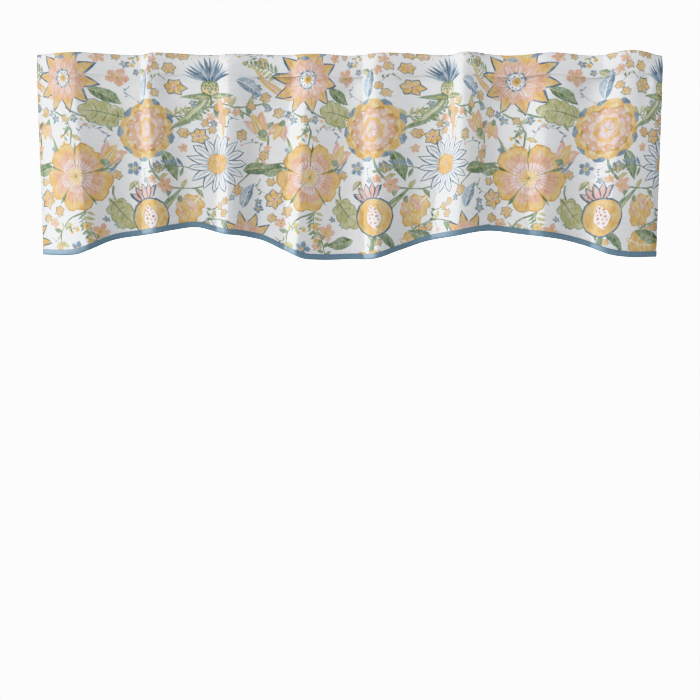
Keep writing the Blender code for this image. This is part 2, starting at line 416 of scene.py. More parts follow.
def thistle():
    """A blue thistle head seen from the side, with its spray on +x."""
    shapes = []
    for k in range(-7, 8):
        spike = blade(0.52 - 0.012 * abs(k), 0.050, 0.55, 1.0, 0.02 * k, 5) * turned(8.6 * k) - 0.08
        shapes.append((("navy", "sky", "slate", "navy")[k % 4], spike))
    shapes += [("gold", disc(0.54 * turned(15 * k) - 0.08, 0.014, 5)) for k in range(-3, 4)]
    for side in (-1, 1):
        for colour, length, width in (("leaf", 0.42, 0.12), ("moss", 0.32, 0.04)):
            leaf = blade(length, width, 0.4, 1.0, 0.55 * side)
            shapes.append((colour, leaf * turned(62 * side) - 0.36))
    shapes += [("leaf_dark", disc(-0.16, 0.155, 14)), ("straw", disc(-0.16, 0.138, 12))]
    for i in range(4):
        for j in range(-2, 3):
            root = -0.28 + 0.065 * i + 0.052j * (j + 0.5 * (i % 2))
            if abs(root + 0.16) < 0.125:
                shapes.append(("leaf", blade(0.075, 0.046, 0.5, 0.8, steps=4) + root))
    return shapes + [("leaf_dark", stroke(arc(-0.30, -0.48, 0.06, 4), 0.030, 0.022))]


def bell_bloom():
    """A closed flower of three petals, on +x."""
    shapes = []
    for k, colour, inner in (
        (1.0, "peach", "blush"), (-1.0, "salmon", "blush"), (0.0, "gold", "straw")
    ):
        stripe = arc(0.05, 0.48, 0.05 * k) * turned(14 * k) - 0.33
        shapes += [
            (colour, blade(0.70, 0.30, 0.45, 0.9, 0.16 * k) * turned(16 * k) - 0.35),
            (inner, blade(0.52, 0.13, 0.45, 0.9, 0.16 * k) * turned(16 * k) - 0.33),
            ("navy", stroke(stripe, 0.016, 0.006)),
        ]
    return shapes + [("leaf", blade(0.26, 0.22, 0.5, 0.7) - 0.42)]


def small_bloom(petals, petal_colour, eye_colour, edge_colour=None):
    """A little open flower."""
    petal = [(petal_colour, blade(0.48, 0.30, 0.64, 0.7, steps=4))]
    if edge_colour:
        petal.insert(0, (edge_colour, blade(0.54, 0.38, 0.62, 0.7, steps=4)))
    return around(petals, petal) + [(eye_colour, disc(0, 0.14, 6)), ("navy", disc(0, 0.05, 4))]


def bowed(u, bend):
    """A point of a bent leaf's middle line, u along it from stalk to tip."""
    return u + 1j * bend * u * u


def plain_leaf(colour, shade, rib, bend=0.15):
    """A leaf with one dark half and ribs, from its stalk at the origin to its tip on +x."""
    whole = blade(1.0, 0.42, 0.42, 1.0, bend, 7)
    middle = np.linspace(0, 1, 7) * (1 + 1j * bend * np.linspace(0, 1, 7))
    half = np.concatenate([whole[:7], middle[-2:0:-1]])
    shapes = [(colour, whole), (shade, half)]
    shapes.append((rib, stroke(bowed(np.linspace(0.02, 0.9, 4), bend), 0.035, 0.012)))
    for k, u in enumerate((0.25, 0.45, 0.65)):
        root = bowed(u, bend)
        for side in (-1, 1):
            reach = (0.17 - 0.025 * k) * (1 + side * 0.9j)
            shapes.append((rib, stroke(arc(root, root + reach, 0, 2), 0.018, 0.008)))
    return shapes


def lobed_leaf(colour, rim, rib):
    """A leaf of rounded lobes along one rib."""
    lobes = [(0.86, 0, 0.20)]
    for along, radius in ((0.70, 0.19), (0.47, 0.20), (0.26, 0.15)):
        lobes += [(along, 1, radius), (along, -1, radius)]
    shapes = []
    for colour_now, grow in ((rim, 0.025), (colour, 0.0)):
        shapes.append((colour_now, blade(0.95, 0.34 + 2 * grow, 0.5, 0.7)))
        shapes += [
            (colour_now, disc(along + 0.17j * side, radius * 0.72 + grow, 8))
            for along, side, radius in lobes
        ]
    shapes.append((rib, stroke(arc(0.05, 0.88, 0.02, 5), 0.035, 0.012)))
    for along, side, radius in lobes[1:]:
        vein = arc(along - 0.10, along + 0.20j * side, 0.05 * side, 3)
        shapes.append((rib, stroke(vein, 0.020, 0.008)))
    return shapes


def strap_leaf(colour, stripe, bend=0.35):
    """A long narrow leaf with a stripe down it."""
    return [
        (colour, blade(1.0, 0.15, 0.4, 0.9, bend, 10)),
        (stripe, blade(0.86, 0.07, 0.4, 0.9, bend, 8)),
        ("white", stroke(bowed(np.linspace(0.08, 0.66, 6), bend), 0.014, 0.006)),
    ]


def fern(colour, shade):
    """A feathered leaf: pairs of narrow leaflets along one rib."""
    rib = arc(0, 1, 0.10, 10)
    shapes = []
    for k in range(1, 9):
        reach = 0.30 - 0.024 * k
        for side in (-1, 1):
            leaflet = blade(reach, 0.075, 0.5, 0.9, 0.15 * side, 4) * turned(52 * side)
            shapes.append((colour if side > 0 else shade, leaflet + rib[k]))
    shapes.append((shade, blade(0.16, 0.07, 0.5, 0.9, steps=5) + 0.9))
    return shapes + [("leaf_dark", stroke(rib, 0.024, 0.010))]


def sprig(flower_colour, eye_colour, leaf_colour):
    """A stalk with small leaves by turns and three little flowers, up +x."""
    line = arc(0, 1, 0.08, 9)
    shapes = [("leaf_dark", stroke(line[::2], 0.030, 0.014))]
    for k in range(1, 7):
        side = 1 if k % 2 else -1
        leaf = blade(0.22, 0.085, 0.45, 1.0, 0.2 * side, 4) * turned(48 * side)
        shapes.append((leaf_colour, leaf + line[k]))
    for place, size, lift in ((line[8], 0.26, 0), (line[6], 0.20, 0.17j), (line[5], 0.18, -0.17j)):
        shapes.append(("leaf_dark", stroke(arc(place - 0.04, place + lift, 0.0, 3), 0.014, 0.010)))
        shapes.append((flower_colour, scalloped(0.5 * size, 5, 0.35, 2) + place + lift))
        shapes.append((eye_colour, disc(place + lift, 0.17 * size, 5)))
    return shapes


def tendril(line_colour, tip_colour):
    """A thin curl with a bud at its end and two leaflets."""
    turn = np.linspace(0, 1, 9)
    curl = 1.0 * turn + 0.42j * np.sin(math.pi * turn * 1.35) * (0.3 + turn)
    shapes = [(line_colour, stroke(curl, 0.050, 0.022))]
    for k, side in ((2, 1), (4, -1), (6, 1)):
        leaf = blade(0.26, 0.11, 0.45, 1.0, 0.25 * side, 4) * turned(48 * side)
        shapes.append((line_colour, leaf + curl[k]))
    bud = blade(0.30, 0.20, 0.55, 0.8, steps=4) * turned(-60)
    return shapes + [(tip_colour, bud + curl[-1])]


def berry_sprig(berry_colour):
    """A forked stalk of berries."""
    shapes = []
    for k in (-2, -1, 0, 1, 2):
        tip = (0.92 - 0.10 * abs(k)) * turned(21 * k)
        shapes += [
            ("leaf", stroke(arc(0, tip, 0.05 * k, 4), 0.026, 0.012)),
            (berry_colour, disc(tip, 0.075, 6)),
            ("leaf", blade(0.20, 0.075, steps=4) * turned(21 * k + 35) + 0.45 * tip),
        ]
    return shapes


MOTIFS = {
    "star": star_bloom(),
    "rosette": round_bloom(),
    "wild_rose": wild_rose(),
    "daisy": daisy(),
    "pomegranate": pomegranate(),
    "thistle": thistle(),
    "bell": bell_bloom(),
    "gold_flower": small_bloom(6, "gold", "salmon", "navy"),
    "blue_flower": small_bloom(5, "slate", "gold", "sky"),
    "pink_flower": small_bloom(5, "peach", "gold", "salmon"),
    "leaf": plain_leaf("leaf", "leaf_dark", "moss"),
    "pale_leaf": plain_leaf("leaf", "moss", "blush", -0.2),
    "blue_leaf": plain_leaf("sky", "slate", "white", 0.25),
    "lobed": lobed_leaf("moss", "leaf", "leaf_dark"),
    "gold_lobed": lobed_leaf("gold", "ochre", "white"),
    "fern": fern("leaf", "moss"),
    "blue_fern": fern("slate", "leaf"),
    "strap": strap_leaf("leaf", "moss"),
    "blue_strap": strap_leaf("slate", "straw", -0.3),
    "gold_strap": strap_leaf("gold", "salmon", 0.3),
    "gold_sprig": sprig("gold", "ochre", "leaf"),
    "blue_sprig": sprig("navy", "gold", "leaf"),
    "pink_sprig": sprig("salmon", "gold", "moss"),
    "gold_tendril": tendril("leaf", "gold"),
    "pink_tendril": tendril("leaf_dark", "salmon"),
    "blue_tendril": tendril("slate", "peach"),
    "berries": berry_sprig("gold"),
    "blue_berries": berry_sprig("navy"),
}

# One repeat, in mm: right of the repeat's left side and below the top edge. room is how much of
# the ground round its middle the motif keeps clear of the small sprigs.
Place = namedtuple("Place", "motif x y size turn room")
LAYOUT = [Place(*row) for row in (
    ("strap", 78, 120, 132, 250, 0), ("blue_strap", 92, 118, 110, 300, 0),
    ("gold_strap", 60, 112, 114, 205, 0), ("leaf", 140, 88, 67, 20, 30),
    ("fern", 30, 60, 80, 200, 30), ("star", 88, 68, 158, 8, 76),
    ("lobed", 205, 150, 84, 190, 38), ("leaf", 300, 225, 71, 60, 30),
    ("blue_leaf", 250, 110, 66, 265, 28), ("fern", 318, 150, 87, -24, 32),
    ("rosette", 258, 178, 142, 0, 70),
    ("strap", 392, 90, 114, 110, 0), ("gold_strap", 404, 96, 104, 62, 0),
    ("blue_leaf", 455, 66, 63, 20, 28), ("thistle", 392, 64, 118, 268, 52),
    ("strap", 118, 292, 123, 215, 0), ("blue_strap", 130, 300, 102, 330, 0),
    ("lobed", 170, 330, 81, 50, 36), ("leaf", 45, 262, 66, 170, 30),
    ("fern", 120, 350, 91, 78, 34), ("wild_rose", 104, 284, 150, 20, 72),
    ("leaf", 470, 268, 67, -15, 30), ("gold_lobed", 372, 318, 80, 120, 32),
    ("blue_fern", 352, 262, 88, 175, 28), ("daisy", 412, 252, 132, 26, 64),
    ("strap", 268, 410, 123, 285, 0), ("gold_strap", 262, 404, 118, 238, 0),
    ("gold_lobed", 318, 420, 77, 10, 34), ("leaf", 212, 420, 64, 160, 28),
    ("pomegranate", 258, 356, 138, 255, 58),
    ("star", 478, 420, 130, 40, 62), ("leaf", 404, 420, 67, 190, 28),
    ("blue_leaf", 470, 350, 60, 280, 24), ("lobed", 20, 470, 77, 20, 34),
    ("bell", 176, 232, 74, 300, 30), ("bell", 500, 165, 76, 240, 30),
    ("bell", 28, 178, 66, 110, 28), ("bell", 340, 345, 62, 60, 26),
    ("gold_flower", 330, 84, 40, 0, 22), ("pink_flower", 190, 60, 40, 10, 22),
    ("blue_flower", 222, 262, 32, 0, 20), ("gold_flower", 24, 330, 42, 20, 22),
    ("pink_flower", 150, 405, 41, 0, 24), ("blue_flower", 96, 440, 36, 0, 22),
    ("gold_flower", 372, 190, 38, 12, 20), ("pink_flower", 300, 300, 36, 30, 20),
    ("gold_sprig", 150, 470, 84, 250, 30), ("wild_rose", 250, 520, 150, 50, 74),
    ("daisy", 400, 545, 130, 0, 64), ("rosette", 90, 560, 130, 0, 64),
)]

Vine = namedtuple("Vine", "x0 y0 x1 y1 bulge")
VINES = [Vine(*row) for row in (
    (88, 130, 240, 120, 0.22), (300, 200, 420, 130, -0.25), (400, 105, 520, 110, 0.18),
    (60, 140, 90, 225, -0.28), (180, 300, 262, 400, 0.24), (262, 240, 380, 300, 0.26),
    (460, 300, 620, 270, -0.2), (330, 440, 440, 380, -0.25), (120, 360, 60, 470, 0.26),
    (520, 240, 470, 140, 0.22), (480, 470, 600, 500, 0.2), (200, 470, 300, 560, 0.3),
)]

SMALL = [
    "gold_sprig", "gold_tendril", "pink_sprig", "berries", "pink_tendril", "gold_flower",
    "blue_sprig", "gold_flower", "pale_leaf", "blue_tendril", "gold_sprig", "pink_flower", "fern",
    "blue_flower",
]
SMALL_SIZE = {
    "pale_leaf": 32, "blue_flower": 19, "gold_flower": 22, "pink_flower": 22,
    "gold_tendril": 36, "pink_tendril": 36, "blue_tendril": 34,
}
SPRIG_SIZE = 46  # of the small motifs that aren't listed
ATTEMPTS = 7000


def scatter():
    """Small sprigs and flowers, set at random in what ground the layout leaves."""
    chance = random.Random(7)
    taken = [(place.x, place.y, place.room) for place in LAYOUT if place.room]
    found = []
    for attempt in range(ATTEMPTS):
        motif = SMALL[attempt % len(SMALL)]
        size = SMALL_SIZE.get(motif, SPRIG_SIZE) * chance.uniform(0.85, 1.2)
        x, y = chance.uniform(0, REPEAT_ACROSS), chance.uniform(0, REPEAT_DOWN)
        turn = chance.uniform(0, 360)
        room = 0.41 * size
        clear = all(
            math.hypot(
                (x - u + REPEAT_ACROSS / 2) % REPEAT_ACROSS - REPEAT_ACROSS / 2,
                (y - v + REPEAT_DOWN / 2) % REPEAT_DOWN - REPEAT_DOWN / 2,
            ) > room + other
            for u, v, other in taken
        )
        if clear:
            taken.append((x, y, room))
            start = 0 if "flower" in motif else 0.5 * size * turned(turn)
            found.append(Place(motif, x - start.real, y - start.imag, size, turn, room))
    return found


def by_hand(outline):
    """The outline as unsteady as a drawn one. The waves fit the repeat, so its sides still meet."""
    u = 2 * math.pi * outline.real / REPEAT_ACROSS
    v = 2 * math.pi * outline.imag / REPEAT_DOWN
    right = 1.3 * np.sin(9 * u + 7 * v) + 0.9 * np.sin(21 * u - 17 * v + 2)
    down = 1.3 * np.sin(8 * u - 9 * v + 1) + 0.9 * np.sin(19 * u + 23 * v)
    right = right + 0.5 * np.sin(43 * v + 1)
    down = down + 0.5 * np.sin(41 * u)
    return outline + right + 1j * down


def one_repeat():
    """Every coloured outline of one repeat, in the order of painting."""
    shapes = []
    for vine in VINES:
        line = arc(complex(vine.x0, vine.y0), complex(vine.x1, vine.y1), vine.bulge, 11)
        shapes.append(("leaf_dark", stroke(line, 4.2, 2.8)))
        shapes.append(("leaf", stroke(line + 0.3, 2.2, 1.2)))
        for k in (3, 5, 7, 9):
            side = 1 if k % 4 == 1 else -1
            heading = (line[k + 1] - line[k - 1]) / abs(line[k + 1] - line[k - 1])
            curl = blade(26, 11, 0.45, 1.0, 0.25 * side, 5) * heading * turned(50 * side)
            shapes.append(("leaf" if side > 0 else "moss", curl + line[k]))
    for place in scatter() + LAYOUT:
        turn = turned(place.turn)
        centre = complex(place.x, place.y)
        for colour, outline in MOTIFS[place.motif]:
            shapes.append((colour, outline * place.size * turn + centre))
    return [(colour, by_hand(outline)) for colour, outline in shapes]


INKS = {
    "white": "#F2F2F2", "gold": "#E9C88D", "ochre": "#D6B076", "straw": "#EEDBB0",
    "peach": "#E6C0A6", "salmon": "#E8C4B8", "blush": "#EFDAD2", "rose": "#D4A69C",
    "slate": "#94A8B8", "sky": "#BCCAD5", "navy": "#788C9F", "leaf": "#9AAB8F",
    "leaf_dark": "#83957C", "moss": "#C8C79C",
}


def linear(hex_colour):
    """The linear colour of an sRGB hex value."""
    srgb = [int(hex_colour[i : i + 2], 16) / 255 for i in (1, 3, 5)]
    return [c / 12.92 if c <= 0.04045 else ((c + 0.055) / 1.055) ** 2.4 for c in srgb]


# ---- Cutting and hanging the printed cloth ----
# The flat cloth is cut up along the outlines of the print, so that each facet has one ink. Tile by
# tile, since the cutting slows down quickly with the number of outlines.

CLOTH = 0.0010  # the thickness of one layer
SIDE_HEM = 0.015
HEM_STEP = 0.0015  # over which the cloth goes from two layers to one
EVEN_LINES = 228
BESIDE_CREASE = 0.0010
CLEAR_OF_CREASE = 0.0022
FOLD_STEPS = 12  # steps from line to line across a tile
DROP_STEPS = 5  # and down it
BACK_DEPTH_OF_INK = 0.28

# In mm of flat cloth, for the cutting.
THINNEST_FACET = 0.0005
WELD = 0.004
AT_EDGE = 0.02  # a point this near the cloth's edge is on it
SMALLEST_ON_BACK = 1500  # square mm of the box round an outline; a smaller one doesn't show through
MERGE_ANGLE = 0.12  # radians by which a merged facet's outline may be straightened

# The lines of points down the cloth: evenly apart, and one close on each side of every crease.
even_lines = np.linspace(0, FLAT_WIDTH, EVEN_LINES)
crease_lines = np.interp([fold.crease for fold in FOLDS[1:]], fine_across, fine_along)
crease_lines = (crease_lines[:, None] + (-BESIDE_CREASE, BESIDE_CREASE)).ravel()
far = np.abs(even_lines[:, None] - crease_lines).min(axis=1) > CLEAR_OF_CREASE
down_lines = np.sort(np.concatenate([even_lines[far], crease_lines]))

ink_names = list(INKS)
ink_numbers = {name: i for i, name in enumerate(ink_names)}
WHITE = ink_numbers["white"]
shapes = [(ink_numbers[ink], outline) for ink, outline in one_repeat()]
shape_boxes = np.array(
    [(o.real.min(), o.imag.min(), o.real.max(), o.imag.max()) for _, o in shapes]
)
shape_areas = np.prod(shape_boxes[:, 2:] - shape_boxes[:, :2], axis=1)


def shapes_over(box, smallest):
    """The outlines that reach into a box of flat cloth, in mm, in the order of painting."""
    found = []
    for column in range(-1, math.ceil(1000 * FLAT_WIDTH / REPEAT_ACROSS) + 1):
        for row in (-1, 0):
            x, y = column * REPEAT_ACROSS, row * REPEAT_DOWN
            near = (shape_boxes[:, 0] + x < box[2]) & (shape_boxes[:, 2] + x > box[0])
            near &= (shape_boxes[:, 1] + y < box[3]) & (shape_boxes[:, 3] + y > box[1])
            near &= shape_areas >= smallest
            found += [(i, column, row) for i in np.nonzero(near)[0]]
    for i, column, row in sorted(found):
        ink, outline = shapes[i]
        yield ink, outline + complex(column * REPEAT_ACROSS, row * REPEAT_DOWN)


def grid_between(s, upper, lower):
    """Rows of points from the upper level to the lower one, in mm."""
    u = np.linspace(0, 1, DROP_STEPS + 1)[:, None]
    t = upper(s) * (1 - u) + lower(s) * u
    return np.stack([np.broadcast_to(s, t.shape), t], axis=-1) * 1000


def lies_in(points, outline):
    """Which points the outline winds round, all as complex numbers."""
    start, end = outline[None, :], np.roll(outline, -1)[None, :]
    point = points[:, None]
    side = ((end - start).conj() * (point - start)).imag
    rising = (start.imag <= point.imag) & (end.imag > point.imag) & (side > 0)
    falling = (start.imag > point.imag) & (end.imag <= point.imag) & (side < 0)
    return rising.sum(axis=1) != falling.sum(axis=1)


def cut_along(points, edges, tile, painted):
    """The tile's triangles that keep to the given edges, and the ink painted last on each."""
    places, _, triangles, _, _, _ = delaunay_2d_cdt(points, edges, [], 0, 1e-3, False)
    corners = np.array([complex(*place) for place in places])[np.array(triangles)]
    middles = corners.mean(axis=1)
    inks = np.full(len(middles), WHITE)
    for ink, outline in painted:
        near = np.nonzero(
            (middles.real > outline.real.min()) & (middles.real < outline.real.max())
            & (middles.imag > outline.imag.min()) & (middles.imag < outline.imag.max())
        )[0]
        if len(near):
            inks[near[lies_in(middles[near], outline)]] = ink
    sides = corners - np.roll(corners, 1, axis=1)
    heights = np.abs((sides[:, 0].conj() * sides[:, 1]).imag) / np.abs(sides).max(axis=1)
    kept = lies_in(middles, tile) & (heights > THINNEST_FACET)
    return places, np.array(triangles)[kept].tolist(), inks[kept].tolist()


def closed(first, count):
    """The edges of a closed outline."""
    return [(first + i, first + (i + 1) % count) for i in range(count)]


def cut_tile(grid, edge_points, top_edge, smallest):
    """One tile of flat cloth, as points, triangles and inks."""
    outline = np.array([*grid[0], *grid[1:-1, -1], *grid[-1][::-1], *grid[-2:0:-1, 0]])
    low, high = outline.min(axis=0), outline.max(axis=0)
    tile = outline[:, 0] + 1j * outline[:, 1]
    print_box = (low[0], low[1] + top_edge, high[0], high[1] + top_edge)
    painted = [(ink, shape - 1j * top_edge) for ink, shape in shapes_over(print_box, smallest)]
    points, edges = outline.tolist(), closed(0, len(outline))
    for ink, shape in painted:
        edges += closed(len(points), len(shape))
        points += zip(shape.real.tolist(), shape.imag.tolist())
    near = ((edge_points > low - 0.001) & (edge_points < high + 0.001)).all(axis=1)
    points = [Vector(point) for point in points + edge_points[near].tolist()]
    places, triangles, inks = cut_along(points, edges, tile, painted)

    # What is painted over leaves no edges, so the facets of one ink are merged before the last cut.
    drawn = bmesh.new()
    used = {i: drawn.verts.new((*places[i], 0)) for i in set().union(*triangles)}
    for corners, ink in zip(triangles, inks):
        drawn.faces.new([used[i] for i in corners]).material_index = ink
    bmesh.ops.dissolve_limit(
        drawn, angle_limit=MERGE_ANGLE, edges=drawn.edges, delimit={"MATERIAL"},
        verts=[vertex for vertex in drawn.verts if not vertex.is_boundary],
    )
    drawn.verts.index_update()
    points = [vertex.co.xy for vertex in drawn.verts]
    edges = [
        (edge.verts[0].index, edge.verts[1].index)
        for edge in drawn.edges
        if edge.is_boundary or len({face.material_index for face in edge.link_faces}) > 1
    ]
    drawn.free()
    points += [Vector(point) for point in grid[1:-1, 1:-1].reshape(-1, 2)]
    return cut_along(points, edges, tile, painted)


def cut_cloth(levels, top_edge, edge_points, smallest):
    """The flat cloth from the first level to the last: its points, triangles and their inks."""
    cut = bmesh.new()
    for first in range(0, len(down_lines) - 1, FOLD_STEPS):
        for upper, lower in zip(levels, levels[1:]):
            grid = grid_between(down_lines[first : first + FOLD_STEPS + 1], upper, lower)
            places, triangles, inks = cut_tile(grid, edge_points, top_edge, smallest)
            used = {i: cut.verts.new((*places[i], 0)) for i in set().union(*triangles)}
            for corners, ink in zip(triangles, inks):
                cut.faces.new([used[i] for i in corners]).material_index = ink
    tile_edges = [vertex for vertex in cut.verts if vertex.is_boundary]
    bmesh.ops.remove_doubles(cut, verts=tile_edges, dist=WELD)
    cut.verts.index_update()
    flat = np.array([vertex.co[:2] for vertex in cut.verts])
    triangles = np.array([[vertex.index for vertex in face.verts] for face in cut.faces])
    inks = np.array([face.material_index for face in cut.faces])
    cut.free()
    return flat, triangles, inks


def round_edge(flat, triangles, levels):
    """The points of the cloth's edge in order: along the top, down the right side, and back."""
    edges = np.concatenate([triangles[:, [0, 1]], triangles[:, [1, 2]], triangles[:, [2, 0]]])
    edges, uses = np.unique(np.sort(edges, axis=1), axis=0, return_counts=True)
    open_points = np.unique(edges[uses == 1])
    s, t = flat[open_points].T
    left, right = s < AT_EDGE, s > 1000 * FLAT_WIDTH - AT_EDGE
    top, bottom = (
        np.abs(t - np.interp(s, 1000 * down_lines, 1000 * at(down_lines))) < AT_EDGE
        for at in (levels[0], levels[-1])
    )
    sides = [
        open_points[top][np.argsort(s[top])],
        open_points[right & ~top & ~bottom][np.argsort(t[right & ~top & ~bottom])],
        open_points[bottom][np.argsort(-s[bottom])],
        open_points[left & ~top & ~bottom][np.argsort(-t[left & ~top & ~bottom])],
    ]
    return np.concatenate(sides)


def thickness(s):
    """The cloth's own, and twice it in the turned side hems."""
    inward = np.minimum(s, FLAT_WIDTH - s)
    return CLOTH * (2 - np.clip((inward - SIDE_HEM) / HEM_STEP, 0, 1))


def slits(faces):
    """Faces that close the hair-fine slits left where tiles meet."""
    edges = {edge for face in faces for edge in zip(face, face[1:] + face[:1])}
    missing = sorted((b, a) for a, b in edges if (b, a) not in edges)
    # A walk from each missing edge to the next closes one slit whenever it meets itself.
    found, walk = [], []
    while missing:
        edge = next((edge for edge in missing if walk and edge[0] == walk[-1]), missing[0])
        missing.remove(edge)
        if not walk or edge[0] != walk[-1]:
            walk = [edge[0]]
        walk.append(edge[1])
        if edge[1] in walk[:-1]:
            start = walk.index(edge[1])
            found.append(walk[start:-1])
            walk = walk[: start + 1]
    return found


def lay_flat(mesh, places):
    """Gives the mesh a UV map, in metres, from where its points lie on the flat cloth."""
    corner_vertex = np.empty(len(mesh.loops), dtype=np.int32)
    mesh.loops.foreach_get("vertex_index", corner_vertex)
    flat_map = mesh.uv_layers.new(name="flat_cloth")
    flat_map.data.foreach_set("uv", places[corner_vertex].astype(np.float32).ravel())


def in_scene(name, data):
    """An object for the mesh, light or camera, linked to the scene."""
    made = bpy.data.objects.new(name, data)
    bpy.context.scene.collection.objects.link(made)
    return made


def printed_sheet(name, place, levels, top_edge):
    """A closed sheet with the full print on one side and its main forms, faint, on the other."""
    front_flat, front, front_inks = cut_cloth(levels, top_edge, np.zeros((0, 2)), 0)
    front_loop = round_edge(front_flat, front, levels)
    edge_points = front_flat[front_loop]
    back_flat, back, back_inks = cut_cloth(levels, top_edge, edge_points, SMALLEST_ON_BACK)
    back_loop = round_edge(back_flat, back, levels)
    gaps = np.linalg.norm(edge_points[:, None] - back_flat[back_loop][None], axis=2)
    opposite = back_loop[gaps.argmin(axis=1)] + len(front_flat)

    s, t = front_flat.T / 1000
    front_facing = facing(place, s, t)
    room_side = place(s, t)
    s, t = back_flat.T / 1000
    back_facing = facing(place, s, t)
    wall_side = place(s, t) - thickness(s)[:, None] * back_facing
    rim = [
        [a, b, q, p] if p != q else [a, b, p]
        for a, b, p, q in zip(front_loop, np.roll(front_loop, -1), opposite, np.roll(opposite, -1))
    ]
    faces = front[:, ::-1].tolist() + (back + len(front_flat)).tolist()
    rim += slits(faces + rim)
    mesh = bpy.data.meshes.new(name)
    mesh.from_pydata(np.concatenate([room_side, wall_side]).tolist(), [], faces + rim)

    colours = np.array([(*linear(INKS[ink]), 1.0) for ink in ink_names])
    colours /= colours[WHITE]
    faint = colours**BACK_DEPTH_OF_INK
    corner_colours = np.concatenate(
        [
            np.repeat(colours[front_inks], 3, axis=0),
            np.repeat(faint[back_inks], 3, axis=0),
            np.tile(colours[WHITE], (sum(map(len, rim)), 1)),
        ]
    )
    print_layer = mesh.color_attributes.new("print", "FLOAT_COLOR", "CORNER")
    print_layer.data.foreach_set("color", corner_colours.astype(np.float32).ravel())
    lay_flat(mesh, (np.concatenate([front_flat, back_flat]) + (0, top_edge)) / 1000)
    mesh.shade_smooth()
    normals = np.concatenate([front_facing, -back_facing])
    mesh.normals_split_custom_set_from_vertices(normals.tolist())
    return in_scene(name, mesh)


def level(t):
    return lambda s: np.full_like(s, t)


FRONT_OF_POCKET = 0.0587  # of cloth, from the top edge down to the pocket's seam
PANEL_ROWS = (0, 0.015, 0.060, 0.140, 0.220, 0.300)
panel_levels = [level(t) for t in PANEL_ROWS] + [raw_edge]
panel = printed_sheet("panel_cloth", hung_cloth, panel_levels, 1000 * FRONT_OF_POCKET)


def add(tree, kind, links=None, **settings):
    """Adds a node, with its settings by name and its inputs linked or given by socket."""
    node = tree.nodes.new(kind)
    for name, value in settings.items():
        setattr(node, name, value)
    for socket, value in (links or {}).items():
        if isinstance(value, bpy.types.NodeSocket):
            tree.links.new(value, node.inputs[socket])
        else:
            node.inputs[socket].default_value = value
    return node


def new_material(name, finish):
    """A material, its node tree and its shader, with the given values on the shader's sockets."""
    material = bpy.data.materials.new(name)
    material.use_nodes = True
    shader = material.node_tree.nodes["Principled BSDF"]
    for socket, value in finish.items():
        shader.inputs[socket].default_value = value
    return material, material.node_tree, shader


# Screen-printed plain-woven cotton: matt, with slubs in its threads and inks of uneven depth. The
# threads are 0.4 mm apart, too fine to show, so they are drawn 1.9 mm apart. Where the cloth lies
# double, in the side hems and over the turned edge just below the pocket's seam, its white and its
# inks are painted darker. This is painted shade for the light that comes through one layer but not
# two, and below the seam it also stands in for the pocket's shadow.
THREADS_PER_METRE = 520
FINEST_EDGE = 0.001  # over which the painted shade changes where a layer ends
SEAM_ALLOWANCE = 0.013  # of the turned edge, below the seam
finish = {"Roughness": 0.7, "Specular IOR Level": 0.4, "Sheen Weight": 0.1}
printed_cotton, tree, shader = new_material("printed_cotton", finish)
ink = add(tree, "ShaderNodeVertexColor", layer_name="print").outputs["Color"]
flat_uv = add(tree, "ShaderNodeUVMap", uv_map="flat_cloth").outputs["UV"]
along_cloth = add(tree, "ShaderNodeSeparateXYZ", {"Vector": flat_uv}).outputs

# Noise stretched over the flat cloth, with so many waves to the metre each way, turned, from a low
# value to a high one.
uneven = []
for waves, turn, low, high in (
    ((THREADS_PER_METRE, 38), 0, 0, 0.5), ((34, THREADS_PER_METRE), 0, 0, 0.5),
    ((55, 55), 0.6, 0.70, 1.25), ((300, 75), 0.9, -0.22, 0.22),
):
    stretch = {"Vector": flat_uv, "Scale": (*waves, 1), "Rotation": (0, 0, turn)}
    laid = add(tree, "ShaderNodeMapping", stretch).outputs["Vector"]
    noise = add(tree, "ShaderNodeTexNoise", {"Vector": laid, "Scale": 1.0, "Detail": 2.0})
    span = {"From Min": 0.33, "From Max": 0.67, "To Min": low, "To Max": high}
    spread = add(tree, "ShaderNodeMapRange", {"Value": noise.outputs["Fac"], **span})
    uneven.append(spread.outputs["Result"])
upright, level_threads, pools, dabs = uneven
weave = add(tree, "ShaderNodeMath", {0: upright, 1: level_threads}, operation="ADD").outputs[0]

# How much more than one layer there is, which sets the painted shade: one in the side hems, and
# 0.4 over the seam's allowance, where the painted shade also stands in for the pocket's shadow.
below_seam = FRONT_OF_POCKET + SEAM_ALLOWANCE
right_hem = FLAT_WIDTH - SIDE_HEM
layers = 0.0
for way, start, end, low, high in (
    ("X", SIDE_HEM - FINEST_EDGE, SIDE_HEM, 1, 0), ("X", right_hem, right_hem + FINEST_EDGE, 0, 1),
    ("Y", FRONT_OF_POCKET - FINEST_EDGE, FRONT_OF_POCKET, 0, 0.4),
    ("Y", below_seam, below_seam + 2 * FINEST_EDGE, 0, -0.4),
):
    span = {"From Min": start, "From Max": end, "To Min": low, "To Max": high}
    step = add(tree, "ShaderNodeMapRange", {"Value": along_cloth[way], **span}).outputs["Result"]
    layers = add(tree, "ShaderNodeMath", {0: layers, 1: step}, operation="ADD").outputs[0]
